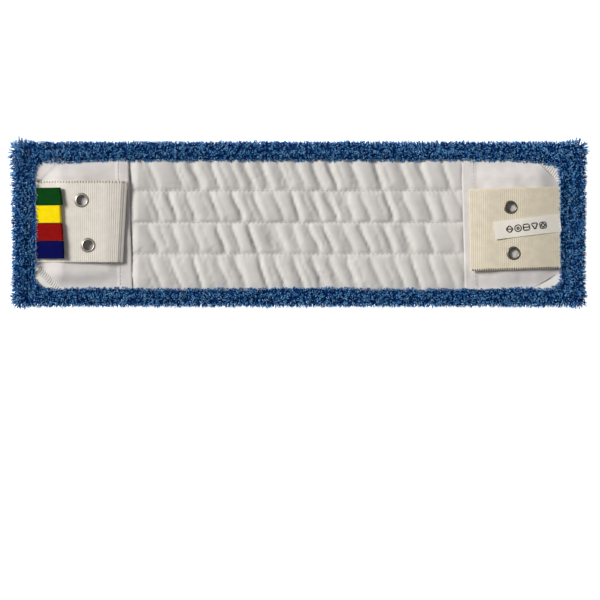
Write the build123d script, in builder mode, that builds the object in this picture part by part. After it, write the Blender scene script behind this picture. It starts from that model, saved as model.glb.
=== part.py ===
"""Pocket-and-flap flat-mop pad, lying on its pile with its back up. Millimetres, +Z up.

The origin is the middle of the pad on the surface that it lies on. X is the length, Y the width.
"""

from build123d import *
import os
from math import atan2, degrees

# Outline
LENGTH = 450.0
WIDTH = 130.0
CORNER_R = 7.0

# Layers, from the tips of the pile upwards
PILE = 5.0
GROUND_CLOTH = 1.0
CORE = 2.5
BACKING = 0.8
EDGE_LIP = 3.5
PUFF = 2.0

# Bindings: width on the working face, width on the back, and thickness round the edge
LONG_BAND = 9.5
LONG_LIP = 14.5
END_BAND = 11.0
END_LIP = 20.5
WALL = 4.0
LIP_ROUND = 1.5
EDGE_ROUND = 2.0

# Quilting: where the three seams cross the width, and the flat that each leaves between the puffs
QUILT_LINES = (-23.5, 1.0, 26.0)
SEAM_FLAT = 1.2
QUILT_END = 127.0

# Sewing thread and the grooves that it lies in
THREAD_W = 0.6
THREAD_T = 0.4
GROOVE_W = 1.2
GROOVE_D = 1.0

# Pockets: the space inside, the panel over it, and its cut-off outer corners
CLOTH = 0.8
POCKET_H = 4.5
POCKET_GAP = 0.4
POCKET_ROOT_H = 0.2
POCKET_FLAT = 36.0
SEAM_GAP = 0.6
SIDE_GAP = 0.5
RAMP = 20.0
HEM = 10.0
CORNER_CUT = 20.0
PATCH_SIDE = 17.5

# Flaps
FLAP_T = 1.6
FLAP_ROOT_LIFT = 0.35
FLAP_LIFT = 1.4
FLAP_EDGE_IN = 1.6

# Eyelets
EYELET_HOLE_R = 3.75
EYELET_BARREL_R = 4.2
EYELET_FLANGE_R = 5.8
EYELET_FLANGE_T = 0.7
WASHER_R = 5.6
WASHER_T = 0.5
EYELET_PLAY = 0.1

# Ribbon tags and the label
TAG_LENGTH = 18.6
TAG_W = 13.5
TAG_PITCH = 13.95
TAG_ROW_Y = 0.5
TAG_FOLD = 3.0
TAG_ROOT_T = 1.1
RIBBON = 0.5
REST_GAP = 0.35
LABEL_W = 14.0
LABEL_LENGTH = 50.0
LABEL_TURN = 7.0
LABEL_ROOT_Y = 0.8
ROOT_IN = 0.4

# Levels and edges that follow from the sizes above
HALF_L = LENGTH / 2
HALF_W = WIDTH / 2
CLOTH_TOP = PILE + GROUND_CLOTH
CORE_TOP = CLOTH_TOP + CORE
BACK_TOP = CORE_TOP + BACKING
EDGE_TOP = BACK_TOP + EDGE_LIP
INNER_L = HALF_L - WALL
INNER_W = HALF_W - WALL
END_X = HALF_L - END_LIP
LONG_Y = HALF_W - LONG_LIP
SEAM_X = END_X - SEAM_GAP
RAMP_X = SEAM_X - RAMP
POCKET_SIDE = LONG_Y - SIDE_GAP
POCKET_Z = BACK_TOP + POCKET_GAP
PANEL_TOP = POCKET_Z + POCKET_H + CLOTH
FLAP_ROOT_Z = POCKET_Z + POCKET_ROOT_H + CLOTH + FLAP_ROOT_LIFT
FLAP_Z = PANEL_TOP + FLAP_LIFT
FLAP_TOP = FLAP_Z + FLAP_T

# Each end: which way it points, where its pocket opens, and its flap, eyelets and edge seam
ENDS = {
    "left": {
        "side": -1,
        "mouth": 132.0,
        "flap_tip": 136.4,
        "flap_y": (-30.0, 33.5),
        "thread_y": 33.5 - FLAP_EDGE_IN,
        "eyelets": {"front": (-164.6, -16.9), "rear": (-169.8, 18.3)},
    },
    "right": {
        "side": 1,
        "mouth": 128.5,
        "flap_tip": 134.0,
        "flap_y": (-35.3, 28.6),
        "thread_y": -35.3 + FLAP_EDGE_IN,
        "eyelets": {"front": (167.6, -23.1), "rear": (165.3, 12.9)},
    },
}
TAGS = ("blue", "red", "yellow", "green")


def save(part, name):
    """Label a finished piece and write its STEP file."""
    part.label = name
    export_step(part, f"parts/{name}.step")


def face_fabric():
    """Looped face: the pile inside the bindings, and the ground cloth that runs on into them."""
    with BuildPart() as face:
        with BuildSketch():
            Rectangle(2 * (HALF_L - END_BAND), 2 * (HALF_W - LONG_BAND))
        extrude(amount=PILE)
        with BuildSketch(Plane.XY.offset(PILE)):
            RectangleRounded(2 * INNER_L, 2 * INNER_W, WALL)
        extrude(amount=GROUND_CLOTH)
    return face.part


def absorbent_core():
    """Wadding between the face and the back."""
    with BuildPart() as core:
        with BuildSketch(Plane.XY.offset(CLOTH_TOP)):
            RectangleRounded(2 * INNER_L, 2 * INNER_W, WALL)
        extrude(amount=CORE)
    return core.part


def backing_panel():
    """Back cloth, puffed up between the quilting seams in the middle of the pad."""
    sides = (-LONG_Y, *QUILT_LINES, LONG_Y)
    with BuildPart() as back:
        with BuildSketch(Plane.XY.offset(CORE_TOP)):
            RectangleRounded(2 * INNER_L, 2 * INNER_W, WALL)
        extrude(amount=BACKING)
        with BuildSketch(Plane.YZ):
            for low, high in zip(sides, sides[1:]):
                start = low + SEAM_FLAT / 2
                end = high - SEAM_FLAT / 2
                with BuildLine():
                    ThreePointArc((start, BACK_TOP), ((start + end) / 2, BACK_TOP + PUFF), (end, BACK_TOP))
                    Line((end, BACK_TOP), (start, BACK_TOP))
                make_face()
        extrude(amount=QUILT_END, both=True)
    return back.part


def long_binding(side):
    """Binding folded round a long edge: side is -1 at the front and 1 at the rear."""
    edge = side * HALF_W
    with BuildPart() as binding:
        with BuildSketch(Plane.YZ):
            with BuildLine():
                Polyline(
                    (edge, PILE),
                    (side * INNER_W, PILE),
                    (side * INNER_W, BACK_TOP),
                    (side * LONG_Y, BACK_TOP),
                    (side * LONG_Y, EDGE_TOP),
                    (edge, EDGE_TOP),
                    close=True,
                )
            make_face()
        extrude(amount=END_X, both=True)
        with BuildSketch():
            with Locations((0, side * (HALF_W - LONG_BAND / 2))):
                Rectangle(2 * (HALF_L - END_BAND), LONG_BAND)
        extrude(amount=PILE)
        lengthwise = binding.edges().filter_by(Axis.X)
        fillet(lengthwise.group_by(Axis.Z)[-1].sort_by(Axis.Y)[-1 if side > 0 else 0], EDGE_ROUND)
        lengthwise = binding.edges().filter_by(Axis.X)
        fillet(lengthwise.group_by(Axis.Z)[0].sort_by(Axis.Y)[-1 if side > 0 else 0], EDGE_ROUND)
        with BuildSketch():
            with Locations((0, side * (HALF_W - LONG_BAND / 2))):
                Rectangle(2 * (HALF_L - END_BAND), GROOVE_W)
        extrude(amount=GROOVE_D, mode=Mode.SUBTRACT)
    return binding.part


def end_binding(side):
    """Binding folded round an end, over the ends of the long ones: side is -1 left and 1 right."""
    edge = side * HALF_L
    middle = side * (INNER_L + END_X) / 2
    with BuildPart() as binding:
        with BuildSketch(Plane.XZ):
            with BuildLine():
                Polyline(
                    (edge, 0),
                    (side * (HALF_L - END_BAND), 0),
                    (side * (HALF_L - END_BAND), PILE),
                    (side * INNER_L, PILE),
                    (side * INNER_L, BACK_TOP),
                    (side * END_X, BACK_TOP),
                    (side * END_X, EDGE_TOP),
                    (edge, EDGE_TOP),
                    close=True,
                )
            make_face()
        extrude(amount=HALF_W, both=True)
        with BuildSketch(Plane.XY.offset(PILE)):
            with Locations((middle, HALF_W - WALL / 2), (middle, WALL / 2 - HALF_W)):
                Rectangle(INNER_L - END_X, WALL)
        extrude(amount=BACK_TOP - PILE)
        fillet(binding.edges().filter_by(Axis.Z).group_by(Axis.X)[-1 if side > 0 else 0], CORNER_R)
        fillet(binding.faces().sort_by(Axis.Z)[-1].edges(), LIP_ROUND)
        with BuildSketch():
            with Locations((side * (HALF_L - END_BAND / 2), 0)):
                Rectangle(GROOVE_W, WIDTH)
        extrude(amount=GROOVE_D, mode=Mode.SUBTRACT)
    return binding.part


def pocket_outline(height):
    """Corners of a pocket panel's cross-section that stands height clear of its side seams."""
    low = POCKET_Z
    high = POCKET_Z + height
    underside = [
        (-POCKET_SIDE, low),
        (-POCKET_FLAT, high),
        (POCKET_FLAT, high),
        (POCKET_SIDE, low),
    ]
    top = [(y, z + CLOTH) for y, z in reversed(underside)]
    return underside + top


def pocket(side, mouth):
    """Pocket panel: it rises from the end seam over a ramp, and is open at its hemmed mouth."""
    heights = ((SEAM_X, POCKET_ROOT_H), (RAMP_X, POCKET_H), (mouth, POCKET_H))
    with BuildPart() as panel:
        for x, height in heights:
            with BuildSketch(Plane.YZ.offset(side * x)):
                with BuildLine():
                    Polyline(*pocket_outline(height), close=True)
                make_face()
        loft(ruled=True)
        with BuildSketch(Plane.XY.offset(PANEL_TOP)):
            with Locations((side * (mouth + HEM / 2), 0)):
                Rectangle(HEM, 2 * POCKET_FLAT)
        extrude(amount=CLOTH)
        with BuildSketch():
            for turn in (-1, 1):
                with BuildLine():
                    Polyline(
                        (side * HALF_L, turn * (POCKET_SIDE - CORNER_CUT)),
                        (side * SEAM_X, turn * (POCKET_SIDE - CORNER_CUT)),
                        (side * (SEAM_X - CORNER_CUT), turn * POCKET_SIDE),
                        (side * (SEAM_X - CORNER_CUT), turn * HALF_W),
                        (side * HALF_L, turn * HALF_W),
                        close=True,
                    )
                make_face()
        extrude(amount=EDGE_TOP, mode=Mode.SUBTRACT)
    return panel.part


def corner_patch(side, turn):
    """Three-cornered patch on the back cloth, in the corner that the pocket leaves free."""
    with BuildPart() as patch:
        with BuildSketch(Plane.XY.offset(BACK_TOP)):
            with BuildLine():
                Polyline(
                    (side * SEAM_X, turn * POCKET_SIDE),
                    (side * SEAM_X, turn * (POCKET_SIDE - PATCH_SIDE)),
                    (side * (SEAM_X - PATCH_SIDE), turn * POCKET_SIDE),
                    close=True,
                )
            make_face()
        extrude(amount=CLOTH)
    return patch.part


def flap(end):
    """Webbing flap: it follows the pocket's ramp, lies flat, and has a hole for each eyelet."""
    side = end["side"]
    low, high = end["flap_y"]
    with BuildPart() as web:
        with BuildSketch(Plane.XZ.offset(-low)):
            with BuildLine():
                Polyline(
                    (side * SEAM_X, FLAP_ROOT_Z),
                    (side * RAMP_X, FLAP_Z),
                    (side * end["flap_tip"], FLAP_Z),
                    (side * end["flap_tip"], FLAP_TOP),
                    (side * RAMP_X, FLAP_TOP),
                    (side * SEAM_X, FLAP_ROOT_Z + FLAP_T),
                    close=True,
                )
            make_face()
        extrude(amount=low - high)
        with BuildSketch(Plane.XY.offset(FLAP_Z)):
            with Locations(*end["eyelets"].values()):
                Circle(EYELET_BARREL_R + EYELET_PLAY)
        extrude(amount=FLAP_T, mode=Mode.SUBTRACT)
    return web.part


def eyelet(x, y):
    """Rolled eyelet: a barrel through the flap and a domed flange on top of it."""
    with BuildPart() as ring:
        with BuildSketch(Plane.XY.offset(FLAP_TOP)):
            with Locations((x, y)):
                Circle(EYELET_FLANGE_R)
        extrude(amount=EYELET_FLANGE_T)
        fillet(ring.edges().sort_by(Axis.Z)[-1], EYELET_FLANGE_T * 0.9)
        with BuildSketch(Plane.XY.offset(FLAP_Z - WASHER_T)):
            with Locations((x, y)):
                Circle(EYELET_BARREL_R)
        extrude(amount=WASHER_T + FLAP_T)
        with BuildSketch(Plane.XY.offset(FLAP_Z - WASHER_T)):
            with Locations((x, y)):
                Circle(EYELET_HOLE_R)
        extrude(amount=WASHER_T + FLAP_T + EYELET_FLANGE_T, mode=Mode.SUBTRACT)
    return ring.part


def eyelet_washer(x, y):
    """Flat washer that the eyelet is rolled over, under the flap."""
    with BuildPart() as washer:
        with BuildSketch(Plane.XY.offset(FLAP_Z - WASHER_T)):
            with Locations((x, y)):
                Circle(WASHER_R)
                Circle(EYELET_BARREL_R + EYELET_PLAY, mode=Mode.SUBTRACT)
        extrude(amount=WASHER_T)
    return washer.part


def ribbon_tag(y):
    """Folded ribbon: two layers sewn together at the end seam, with a loose fold at the free end."""
    slope = degrees(atan2(FLAP_Z - FLAP_ROOT_Z, RAMP))
    rise = (FLAP_Z - FLAP_ROOT_Z) / RAMP
    root = Vector(ROOT_IN - SEAM_X, y + TAG_W / 2, FLAP_ROOT_Z + FLAP_T + REST_GAP + ROOT_IN * rise)
    along = Vector(1, 0, 0).rotate(Axis.Y, -slope)
    straight = TAG_LENGTH - TAG_FOLD / 2
    inside = 4 * RIBBON / TAG_ROOT_T
    inner_z = TAG_ROOT_T + inside * (TAG_FOLD - TAG_ROOT_T) / straight - RIBBON
    with BuildPart() as tag:
        with BuildSketch(Plane(origin=root, x_dir=along, z_dir=(0, -1, 0))):
            with BuildLine():
                Line((0, TAG_ROOT_T), (0, 0))
                Line((0, 0), (straight, 0))
                ThreePointArc((straight, 0), (TAG_LENGTH, TAG_FOLD / 2), (straight, TAG_FOLD))
                Line((straight, TAG_FOLD), (0, TAG_ROOT_T))
            make_face()
            with BuildLine():
                Line((inside, inner_z), (inside, RIBBON))
                Line((inside, RIBBON), (straight, RIBBON))
                ThreePointArc(
                    (straight, RIBBON),
                    (TAG_LENGTH - RIBBON, TAG_FOLD / 2),
                    (straight, TAG_FOLD - RIBBON),
                )
                Line((straight, TAG_FOLD - RIBBON), (inside, inner_z))
            make_face(mode=Mode.SUBTRACT)
        extrude(amount=TAG_W)
    return tag.part


def care_label():
    """Ribbon label on the right flap, sewn at the end seam and turned a little in plan."""
    flat_z = FLAP_TOP + REST_GAP
    root_z = FLAP_ROOT_Z + FLAP_T + REST_GAP
    ramp = RAMP - ROOT_IN
    along = Vector(-1, 0, 0).rotate(Axis.Z, LABEL_TURN)
    across = Vector(0, 1, 0).rotate(Axis.Z, LABEL_TURN)
    root = Vector(SEAM_X - ROOT_IN, LABEL_ROOT_Y, 0) - across * (LABEL_W / 2)
    with BuildPart() as label:
        with BuildSketch(Plane(origin=root, x_dir=along, z_dir=across)):
            with BuildLine():
                Polyline(
                    (0, root_z),
                    (ramp, flat_z),
                    (LABEL_LENGTH, flat_z),
                    (LABEL_LENGTH, flat_z + RIBBON),
                    (ramp, flat_z + RIBBON),
                    (0, root_z + RIBBON),
                    close=True,
                )
            make_face()
        extrude(amount=LABEL_W)
    return label.part


def thread(center, length, width, level):
    """A straight row of stitches, as one flat strip of thread on a surface at this level."""
    with BuildPart() as row:
        with BuildSketch(Plane.XY.offset(level)):
            with Locations(center):
                Rectangle(length, width)
        extrude(amount=THREAD_T)
    return row.part


os.makedirs("parts", exist_ok=True)

save(face_fabric(), "face_fabric")
save(absorbent_core(), "absorbent_core")
save(backing_panel(), "backing_panel")

for name, side in (("front", -1), ("rear", 1)):
    save(long_binding(side), f"{name}_binding")
    seam_y = side * (HALF_W - LONG_BAND / 2)
    save(thread((0, seam_y), 2 * (HALF_L - END_BAND), THREAD_W, THREAD_T), f"{name}_binding_thread")

for name, end in ENDS.items():
    side = end["side"]
    save(end_binding(side), f"{name}_end_binding")
    seam_x = side * (HALF_L - END_BAND / 2)
    save(thread((seam_x, 0), THREAD_W, WIDTH - 2 * WALL, THREAD_T), f"{name}_end_binding_thread")
    save(pocket(side, end["mouth"]), f"{name}_pocket")
    hem_x = side * (end["mouth"] + HEM - GROOVE_W)
    save(thread((hem_x, 0), THREAD_W, 2 * POCKET_FLAT, PANEL_TOP + CLOTH), f"{name}_pocket_thread")
    for place, turn in (("front", -1), ("rear", 1)):
        save(corner_patch(side, turn), f"{name}_{place}_corner_patch")
    save(flap(end), f"{name}_flap")
    seam_mid = side * (RAMP_X + end["flap_tip"]) / 2
    seam_length = RAMP_X - end["flap_tip"] - 2 * FLAP_EDGE_IN
    seam = thread((seam_mid, end["thread_y"]), seam_length, THREAD_W, FLAP_TOP)
    save(seam, f"{name}_flap_thread")
    for place, (x, y) in end["eyelets"].items():
        save(eyelet(x, y), f"{name}_{place}_eyelet")
        save(eyelet_washer(x, y), f"{name}_{place}_eyelet_washer")

for index, colour in enumerate(TAGS):
    tag_y = TAG_ROW_Y + (index - (len(TAGS) - 1) / 2) * TAG_PITCH
    save(ribbon_tag(tag_y), f"{colour}_tag")
save(care_label(), "care_label")

for name, seam_y in zip(("front", "middle", "rear"), QUILT_LINES):
    save(thread((0, seam_y), 2 * QUILT_END, THREAD_W, BACK_TOP), f"{name}_quilting_thread")
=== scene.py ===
"""Flat-mop pad lying on a white floor with its back up, seen from straight above.

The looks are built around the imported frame: looped pile as curled locks of yarn over a cloth base,
a ruched and quilted back cloth, cloth pockets, ribbed webbing flaps, ribbons and rows of stitches.
Lengths are in millimetres until mesh_piece turns them into metres.
"""

import math

import bpy
import numpy as np
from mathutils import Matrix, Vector


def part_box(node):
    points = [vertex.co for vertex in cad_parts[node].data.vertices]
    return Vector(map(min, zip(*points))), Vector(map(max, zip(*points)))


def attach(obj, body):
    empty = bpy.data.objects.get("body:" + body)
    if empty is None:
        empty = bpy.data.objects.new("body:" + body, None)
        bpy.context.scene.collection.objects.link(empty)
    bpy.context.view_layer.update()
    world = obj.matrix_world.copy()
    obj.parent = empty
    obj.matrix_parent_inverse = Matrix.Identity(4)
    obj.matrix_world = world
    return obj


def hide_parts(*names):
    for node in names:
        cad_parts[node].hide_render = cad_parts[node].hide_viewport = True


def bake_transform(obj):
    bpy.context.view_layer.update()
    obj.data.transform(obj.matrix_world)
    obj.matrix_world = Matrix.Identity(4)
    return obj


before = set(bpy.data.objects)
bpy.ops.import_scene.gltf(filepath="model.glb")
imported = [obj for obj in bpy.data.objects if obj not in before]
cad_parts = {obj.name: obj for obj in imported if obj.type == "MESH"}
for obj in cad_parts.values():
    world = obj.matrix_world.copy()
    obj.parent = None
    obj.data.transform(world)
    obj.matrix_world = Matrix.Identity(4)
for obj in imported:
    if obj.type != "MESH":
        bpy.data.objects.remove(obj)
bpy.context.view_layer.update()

MM = 0.001


def low(node, axis):
    """Lowest coordinate of a CAD node along an axis, in millimetres."""
    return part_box(node)[0][axis] / MM


def high(node, axis):
    """Highest coordinate of a CAD node along an axis, in millimetres."""
    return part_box(node)[1][axis] / MM


def middle(node, axis):
    """Middle of a CAD node's box along an axis, in millimetres."""
    return (low(node, axis) + high(node, axis)) / 2


# Places that the frame gives
X, Y, Z = range(3)
PAD_X = high("right_end_binding", X)
PAD_Y = high("rear_binding", Y)
OPEN_X = low("right_end_binding", X)
OPEN_Y = low("rear_binding", Y)
RIM_Z = high("rear_binding", Z)
FACE_X = high("face_fabric", X)
FACE_Y = high("face_fabric", Y)
FACE_TOP = high("face_fabric", Z)
BACK_Z = low("middle_quilting_thread", Z)
QUILT_Y = [middle(f"{place}_quilting_thread", Y) for place in ("front", "middle", "rear")]
QUILT_END = high("middle_quilting_thread", X)
FACE_BAND_X = middle("right_end_binding_thread", X) - 5.5
FACE_BAND_Y = middle("rear_binding_thread", Y) - 4.75
SIDES = {"left": -1, "right": 1}
ENDS = {"front": -1, "rear": 1}
TAG_COLOURS = ("blue", "red", "yellow", "green")

# Cloth and pile
CLOTH_T = 0.35
PILE_SKIN = 2.3
RIM_SKIN = 2.7
WALL_X = PAD_X - PILE_SKIN
WALL_Y = PAD_Y - PILE_SKIN
WALL_R = 4.0
PAD_GROOVE_X = OPEN_X + 7.0
RIM_START = {"left": 1.5, "right": -0.2, "front": 0.2, "rear": -0.9}
REAR_RIM_IN = 1.9
STITCH_GAP = 0.6
OPENING_CORNERS = {
    (-1, 1): (18.0, 12.0),
    (-1, -1): (15.0, 10.0),
    (1, 1): (20.0, 13.0),
    (1, -1): (12.0, 7.0),
}


# ---------------------------------------------------------------- number tools


def ease(value, start, end):
    """0 at start and before, 1 at end and beyond, and an S-curve between them."""
    t = np.clip((value - start) / (end - start), 0, 1)
    return t * t * (3 - 2 * t)


NOISE_CELLS = 128
NOISE_SHIFT = 5000


def noise(x, y, size, seed):
    """Smooth noise from -1 to 1 over a plane, with features about size across."""
    cells = NOISE_CELLS
    table = np.random.default_rng(seed).uniform(-1, 1, (cells, cells))
    u = np.asarray(x, float) / size + NOISE_SHIFT
    v = np.asarray(y, float) / size + NOISE_SHIFT
    i = np.floor(u).astype(int)
    j = np.floor(v).astype(int)
    a = ease(u - i, 0, 1)
    b = ease(v - j, 0, 1)
    rows = (i % cells, (i + 1) % cells)
    near, far = (
        table[rows[0], column] * (1 - a) + table[rows[1], column] * a
        for column in (j % cells, (j + 1) % cells)
    )
    return near * (1 - b) + far * b


def bell(away, width, power=2):
    """1 where away is 0, falling to 0 in a bell about width wide on each side."""
    return np.exp(-((away / width) ** power))


def rounded_off(depth, radius):
    """How much a rounded edge takes off, from 1 at the edge to 0 at radius inside it."""
    return 1 - np.sqrt(1 - (1 - np.clip(depth / radius, 0, 1)) ** 2)


def corners(grid):
    """The four corner values of each cell of a grid, in order round the cell."""
    return grid[:-1, :-1], grid[1:, :-1], grid[1:, 1:], grid[:-1, 1:]


def unit(vectors):
    """Vectors at length 1."""
    return vectors / np.maximum(np.linalg.norm(vectors, axis=-1, keepdims=True), 1e-12)


def scatter(x0, x1, y0, y1, pitch, seed):
    """Points about pitch apart over a rectangle, in staggered rows, each moved a little at random."""
    rng = np.random.default_rng(seed)
    xs = np.arange(x0, x1, pitch)
    ys = np.arange(y0, y1, pitch * 0.87)
    x, y = np.meshgrid(xs, ys, indexing="ij")
    x = x + pitch / 2 * (np.arange(len(ys)) % 2)
    points = np.stack([x.ravel(), y.ravel()], -1)
    return points + rng.uniform(-0.42, 0.42, points.shape) * pitch


def plane_grid(x0, x1, y0, y1, pitch_x, pitch_y):
    """X and Y of a grid over a rectangle, as two arrays."""
    xs = np.linspace(x0, x1, round(abs(x1 - x0) / pitch_x) + 1)
    ys = np.linspace(y0, y1, round(abs(y1 - y0) / pitch_y) + 1)
    return np.meshgrid(xs, ys, indexing="ij")


# ---------------------------------------------------------------- mesh tools


def mesh_piece(name, points, faces, materials, index=None, sharp=None):
    """Mesh object from arrays in millimetres. faces lists (n, 3) and (n, 4) arrays of point numbers."""
    mesh = bpy.data.meshes.new(name)
    sizes = np.concatenate([np.full(len(group), group.shape[1]) for group in faces])
    loops = np.concatenate([group.ravel() for group in faces])
    mesh.vertices.add(len(points))
    mesh.vertices.foreach_set("co", (np.asarray(points) * MM).astype(np.float32).ravel())
    mesh.loops.add(len(loops))
    mesh.loops.foreach_set("vertex_index", loops.astype(np.int32))
    mesh.polygons.add(len(sizes))
    mesh.polygons.foreach_set("loop_start", (np.cumsum(sizes) - sizes).astype(np.int32))
    mesh.polygons.foreach_set("use_smooth", np.ones(len(sizes), bool))
    for material in materials:
        mesh.materials.append(material)
    if index is not None:
        mesh.polygons.foreach_set("material_index", np.asarray(index, np.int32))
    mesh.update(calc_edges=True)
    mesh.validate()
    if sharp:
        mesh.set_sharp_from_angle(angle=math.radians(sharp))
    piece = bpy.data.objects.new(name, mesh)
    bpy.context.scene.collection.objects.link(piece)
    return piece


def shell(upper, lower, keep=None):
    """Points and faces of a closed sheet between two grids of points, with a wall round every edge."""
    rows, columns = upper.shape[:2]
    keep = np.ones((rows - 1, columns - 1), bool) if keep is None else keep
    number = np.arange(rows * columns).reshape(rows, columns)
    cells = np.stack(corners(number), -1)
    padded = np.pad(keep, 1)
    sides = (
        (padded[1:-1, :-2], 0, 1),
        (padded[2:, 1:-1], 1, 2),
        (padded[1:-1, 2:], 2, 3),
        (padded[:-2, 1:-1], 3, 0),
    )
    under = rows * columns
    faces = [cells[keep], cells[keep][:, ::-1] + under]
    for beyond, first, second in sides:
        edge = cells[keep & ~beyond]
        a = edge[:, first]
        b = edge[:, second]
        faces.append(np.stack([b, a, a + under, b + under], -1))
    faces = np.concatenate(faces)
    points = np.concatenate([upper.reshape(-1, 3), lower.reshape(-1, 3)])
    used = np.unique(faces)
    renumber = np.zeros(len(points), int)
    renumber[used] = np.arange(len(used))
    return points[used], renumber[faces]


def sheet_shell(x, y, top, thickness, keep=None):
    """Points and faces of a sheet of cloth whose upper side is top, above a grid of x and y."""
    upper = np.stack([x, y, top], -1)
    return shell(upper, upper - [0, 0, thickness], keep)


def tubes(paths, across, radii, sides):
    """Points and faces of tubes with closed ends along paths (n, steps, 3). across is a direction for
    each path that its line never takes, and radii has one radius for each step, used but at the ends."""
    count, steps = paths.shape[:2]
    rings = steps - 2
    forward = unit(np.gradient(paths, axis=1))[:, 1:-1]
    first = np.repeat(across[:, None, :], rings, 1)
    second = unit(np.cross(forward, first))
    first = np.cross(second, forward)
    turn = np.arange(sides) * 2 * np.pi / sides
    round_way = first[:, :, None] * np.cos(turn)[:, None] + second[:, :, None] * np.sin(turn)[:, None]
    radii = np.broadcast_to(radii, (count, steps))[:, 1:-1]
    ring_points = paths[:, 1:-1, None] + round_way * radii[:, :, None, None]
    points = np.concatenate([ring_points.reshape(count, -1, 3), paths[:, :1], paths[:, -1:]], 1)
    number = np.arange(rings * sides).reshape(rings, sides)
    after = np.roll(number, -1, 1)
    walls = np.stack([number[:-1], after[:-1], after[1:], number[1:]], -1).reshape(-1, 4)
    root = rings * sides
    tip = root + 1
    start_cap = np.stack([after[0], number[0], np.full(sides, root)], -1)
    end_cap = np.stack([number[-1], after[-1], np.full(sides, tip)], -1)
    offset = (np.arange(count) * points.shape[1])[:, None, None]
    quads = (walls[None] + offset).reshape(-1, 4)
    triangles = (np.concatenate([start_cap, end_cap])[None] + offset).reshape(-1, 3)
    return points.reshape(-1, 3), quads, triangles


def joined(parts):
    """Points, faces and material numbers of several (points, faces, material number) meshes as one."""
    points = []
    faces = []
    index = []
    total = 0
    for part_points, part_faces, material in parts:
        points.append(part_points)
        for group in part_faces:
            faces.append(group + total)
            index.append(np.full(len(group), material))
        total += len(part_points)
    return np.concatenate(points), faces, np.concatenate(index)


def settle(piece, body, slot, *nodes):
    """Rides a piece on a body and hides the CAD nodes that it stands for. slot is not used."""
    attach(piece, body)
    if nodes:
        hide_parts(*nodes)


# ---------------------------------------------------------------- materials


def linear(red, green, blue):
    """Linear colour with alpha from 8-bit display values."""
    value = np.array([red, green, blue]) / 255
    value = np.where(value <= 0.04045, value / 12.92, ((value + 0.055) / 1.055) ** 2.4)
    return (*value, 1.0)


def add_node(material, kind, inputs=None, **properties):
    """Adds a shader node. An input's value is a number, a colour or another node's output."""
    made = material.node_tree.nodes.new(kind)
    for key, value in properties.items():
        setattr(made, key, value)
    for key, value in (inputs or {}).items():
        if isinstance(value, bpy.types.NodeSocket):
            material.node_tree.links.new(value, made.inputs[key])
        else:
            made.inputs[key].default_value = value
    return made


def new_material(name, colour, roughness, sheen=0.0, metallic=0.0, gloss=0.5):
    """Principled material, and its shader node."""
    made = bpy.data.materials.new(name)
    made.use_nodes = True
    shader = made.node_tree.nodes["Principled BSDF"]
    shader.inputs["Base Color"].default_value = colour
    shader.inputs["Roughness"].default_value = roughness
    shader.inputs["Sheen Weight"].default_value = sheen
    shader.inputs["Metallic"].default_value = metallic
    shader.inputs["Specular IOR Level"].default_value = gloss
    return made, shader


def link(material, output, shader, socket):
    """Joins a node's output to one of the shader's sockets."""
    material.node_tree.links.new(output, shader.inputs[socket])


def mottle(material, shader, light, dark, size, detail=4.0):
    """Base colour that wanders between two colours in soft patches about size across, in millimetres."""
    place = add_node(material, "ShaderNodeTexCoord").outputs["Object"]
    cloud = add_node(
        material,
        "ShaderNodeTexNoise",
        {"Vector": place, "Scale": 1 / (size * MM), "Detail": detail, "Roughness": 0.6},
    )
    ramp = add_node(material, "ShaderNodeValToRGB", {"Fac": cloud.outputs["Fac"]})
    ramp.color_ramp.elements[0].position = 0.3
    ramp.color_ramp.elements[0].color = dark
    ramp.color_ramp.elements[1].position = 0.7
    ramp.color_ramp.elements[1].color = light
    link(material, ramp.outputs["Color"], shader, "Base Color")
    return place


WAVE_PERIOD = 0.314


def woven_bump(material, shader, place, pitches, depth):
    """Bump of threads crossing: pitches has the threads' spacing along X and Y in millimetres."""
    waves = []
    for direction, pitch in zip(("X", "Y"), pitches):
        if pitch:
            wave = add_node(
                material,
                "ShaderNodeTexWave",
                {"Vector": place, "Scale": WAVE_PERIOD / (pitch * MM), "Distortion": 0.6},
                bands_direction=direction,
            )
            waves.append(wave.outputs["Fac"])
    height = waves[0]
    if len(waves) > 1:
        height = add_node(material, "ShaderNodeMath", {0: waves[0], 1: waves[1]}, operation="ADD").outputs[0]
    bump = add_node(
        material,
        "ShaderNodeBump",
        {"Height": height, "Strength": 0.7, "Distance": depth * MM},
    )
    link(material, bump.outputs["Normal"], shader, "Normal")


def cloth(name, light, dark, patch=9.0, threads=(0.45, 0.45), depth=0.04, roughness=0.75, gloss=0.15):
    """Woven cloth that wanders between two colours."""
    made, shader = new_material(name, light, roughness, gloss=gloss)
    place = mottle(made, shader, light, dark, patch)
    woven_bump(made, shader, place, threads, depth)
    return made


def metal(name, colour, roughness):
    """Plated metal whose gloss varies a little with fine handling marks."""
    made, shader = new_material(name, colour, roughness, metallic=1.0)
    place = add_node(made, "ShaderNodeTexCoord").outputs["Object"]
    marks = add_node(made, "ShaderNodeTexNoise", {"Vector": place, "Scale": 1500.0, "Detail": 6.0})
    gloss = add_node(
        made,
        "ShaderNodeMapRange",
        {"Value": marks.outputs["Fac"], "To Min": roughness * 0.6, "To Max": roughness * 1.5},
    )
    link(made, gloss.outputs["Result"], shader, "Roughness")
    return made


def thread(name, light, dark):
    """Sewing thread, twisted finely along its length."""
    return cloth(name, linear(*light), linear(*dark), 1.5, (0.5, 0.2), 0.03)


def ribbon(colour, light, dark):
    """Closely woven ribbon of one colour."""
    return cloth(f"{colour}_ribbon", linear(*light), linear(*dark), 3.0, (0.5, 0.35), gloss=0.05)


def webbing(side, light, dark):
    """Stout webbing whose weft shows more than its warp."""
    return cloth(f"{side}_webbing", linear(*light), linear(*dark), 6.0, (0.55, 0.8), 0.05)


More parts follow.
